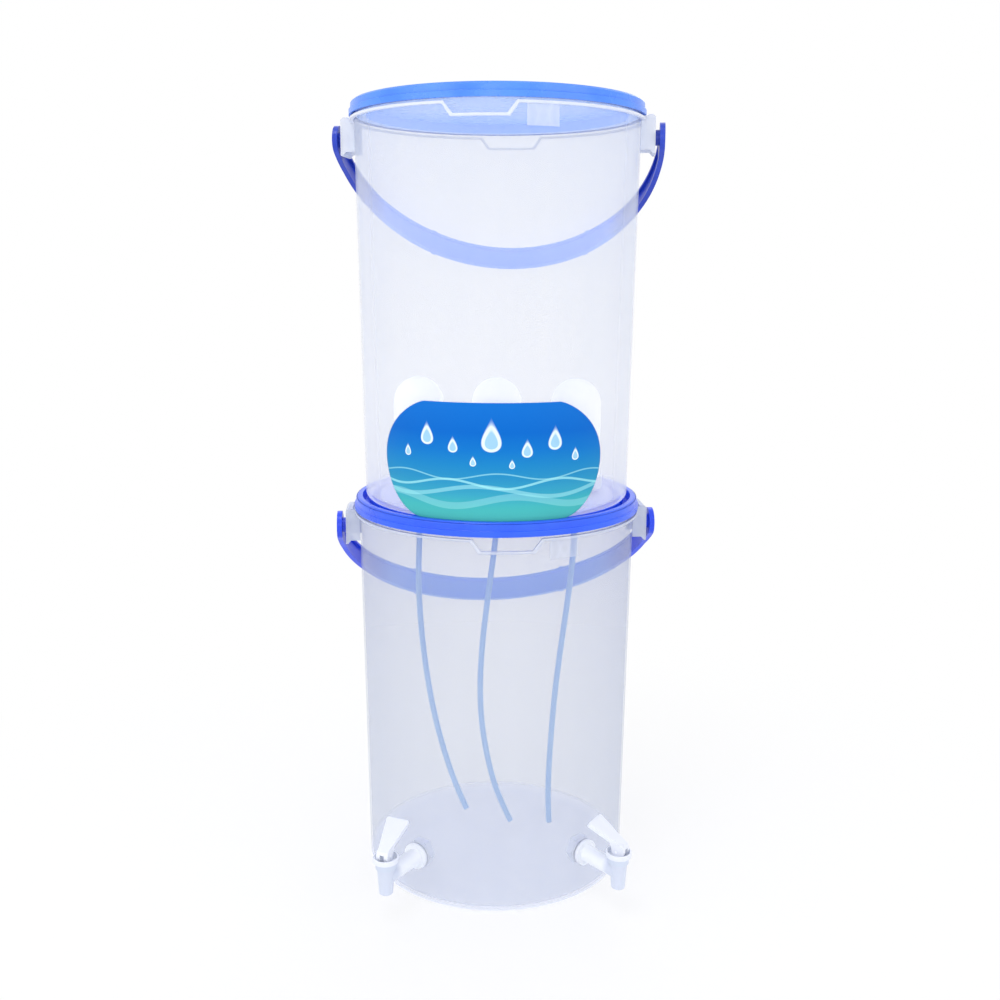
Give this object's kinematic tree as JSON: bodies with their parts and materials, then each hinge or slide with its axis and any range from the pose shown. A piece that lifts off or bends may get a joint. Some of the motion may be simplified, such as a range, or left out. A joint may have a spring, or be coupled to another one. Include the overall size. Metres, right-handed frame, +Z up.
{
  "type": "gravity water filter with taps",
  "caption": "Two stacked lidded plastic buckets with carrying handles, ceramic candle filters, inner hoses and lever taps for drawing filtered water.",
  "frame": {"origin": "centre of the lower bucket's foot ring, on the ground", "axes": "+Z up along the stack, -Y towards the front between the two taps, +X to the right"},
  "size_m": [0.3249, 0.3159, 0.7683],
  "materials": {
    "natural_pp": "milky translucent moulded polypropylene, satin",
    "blue_pp": "moulded polypropylene, semi-gloss",
    "blue_handle": "moulded polypropylene, semi-gloss",
    "label_film": "printed vinyl film, satin",
    "candle_ceramic": "unglazed porous ceramic",
    "carbon_block": "pressed activated carbon",
    "white_plastic": "moulded white plastic, semi-gloss",
    "white_rubber": "food-grade silicone",
    "blue_hose": "extruded polyethylene tubing"
  },
  "bodies": {
    "lower_vessel": {"lower_bucket": "natural_pp", "tap_left_body": "white_plastic", "tap_left_bonnet": "white_plastic", "tap_left_gland": "white_rubber", "tap_left_outer_gasket": "white_rubber", "tap_left_inner_gasket": "white_rubber", "tap_left_nut": "white_plastic", "tap_right_body": "white_plastic", "tap_right_bonnet": "white_plastic", "tap_right_gland": "white_rubber", "tap_right_outer_gasket": "white_rubber", "tap_right_inner_gasket": "white_rubber", "tap_right_nut": "white_plastic"},
    "lower_handle": {"lower_handle": "blue_handle"},
    "upper_unit": {"lower_lid": "blue_pp", "upper_bucket": "natural_pp", "label": "label_film", "stem_spacers": "white_rubber", "candle_left_dome": "candle_ceramic", "candle_left_core": "carbon_block", "candle_left_base": "white_plastic", "candle_left_washer": "white_rubber", "candle_left_nut": "white_plastic", "candle_centre_dome": "candle_ceramic", "candle_centre_core": "carbon_block", "candle_centre_base": "white_plastic", "candle_centre_washer": "white_rubber", "candle_centre_nut": "white_plastic", "candle_right_dome": "candle_ceramic", "candle_right_core": "carbon_block", "candle_right_base": "white_plastic", "candle_right_washer": "white_rubber", "candle_right_nut": "white_plastic", "hose_left": "blue_hose", "hose_centre": "blue_hose", "hose_right": "blue_hose"},
    "upper_handle": {"upper_handle": "blue_handle"},
    "upper_lid": {"upper_lid": "blue_pp"},
    "tap_left_plug": {"tap_left_seat": "white_rubber"},
    "tap_left_stem": {"tap_left_stem": "white_plastic"},
    "tap_left_lever": {"tap_left_lever": "white_plastic"},
    "tap_right_plug": {"tap_right_seat": "white_rubber"},
    "tap_right_stem": {"tap_right_stem": "white_plastic"},
    "tap_right_lever": {"tap_right_lever": "white_plastic"}
  },
  "joints": [
    {"name": "lower_handle_swing", "type": "hinge", "parent": "lower_vessel", "child": "lower_handle", "pos_m": [0, 0, 0.3521], "axis": [0.9976, 0.0698, 0], "range_deg": [0, 72]},
    {"name": "upper_unit_lift", "type": "slide", "parent": "lower_vessel", "child": "upper_unit", "axis": [0, 0, 1], "range_m": [0, 0.37]},
    {"name": "upper_handle_swing", "type": "hinge", "parent": "upper_unit", "child": "upper_handle", "pos_m": [0, 0, 0.7356], "axis": [0.9942, -0.108, 0], "range_deg": [0, 253]},
    {"name": "upper_lid_lift", "type": "slide", "parent": "upper_unit", "child": "upper_lid", "axis": [0, 0, 1], "range_m": [0, 0.06]},
    {"name": "tap_left_lift", "type": "slide", "parent": "lower_vessel", "child": "tap_left_plug", "axis": [0, 0, 1], "range_m": [0, 0.003]},
    {"name": "tap_left_swivel", "type": "hinge", "parent": "tap_left_plug", "child": "tap_left_stem", "pos_m": [-0.10251, -0.14639, 0.0675], "axis": [0, 0, 1], "continuous": true},
    {"name": "tap_left_flip", "type": "hinge", "parent": "tap_left_stem", "child": "tap_left_lever", "pos_m": [-0.10251, -0.14639, 0.0675], "axis": [0.9317, -0.3633, 0], "range_deg": [0, 80]},
    {"name": "tap_right_lift", "type": "slide", "parent": "lower_vessel", "child": "tap_right_plug", "axis": [0, 0, 1], "range_m": [0, 0.003]},
    {"name": "tap_right_swivel", "type": "hinge", "parent": "tap_right_plug", "child": "tap_right_stem", "pos_m": [0.11678, -0.13529, 0.0675], "axis": [0, 0, 1], "continuous": true},
    {"name": "tap_right_flip", "type": "hinge", "parent": "tap_right_stem", "child": "tap_right_lever", "pos_m": [0.11678, -0.13529, 0.0675], "axis": [0.565, 0.8251, 0], "range_deg": [0, 80]}
  ],
  "couplings": [
    {"joint": "tap_left_lift", "follows": "tap_left_flip", "m_per_rad": 0.002148},
    {"joint": "tap_right_lift", "follows": "tap_right_flip", "m_per_rad": 0.002148}
  ]
}
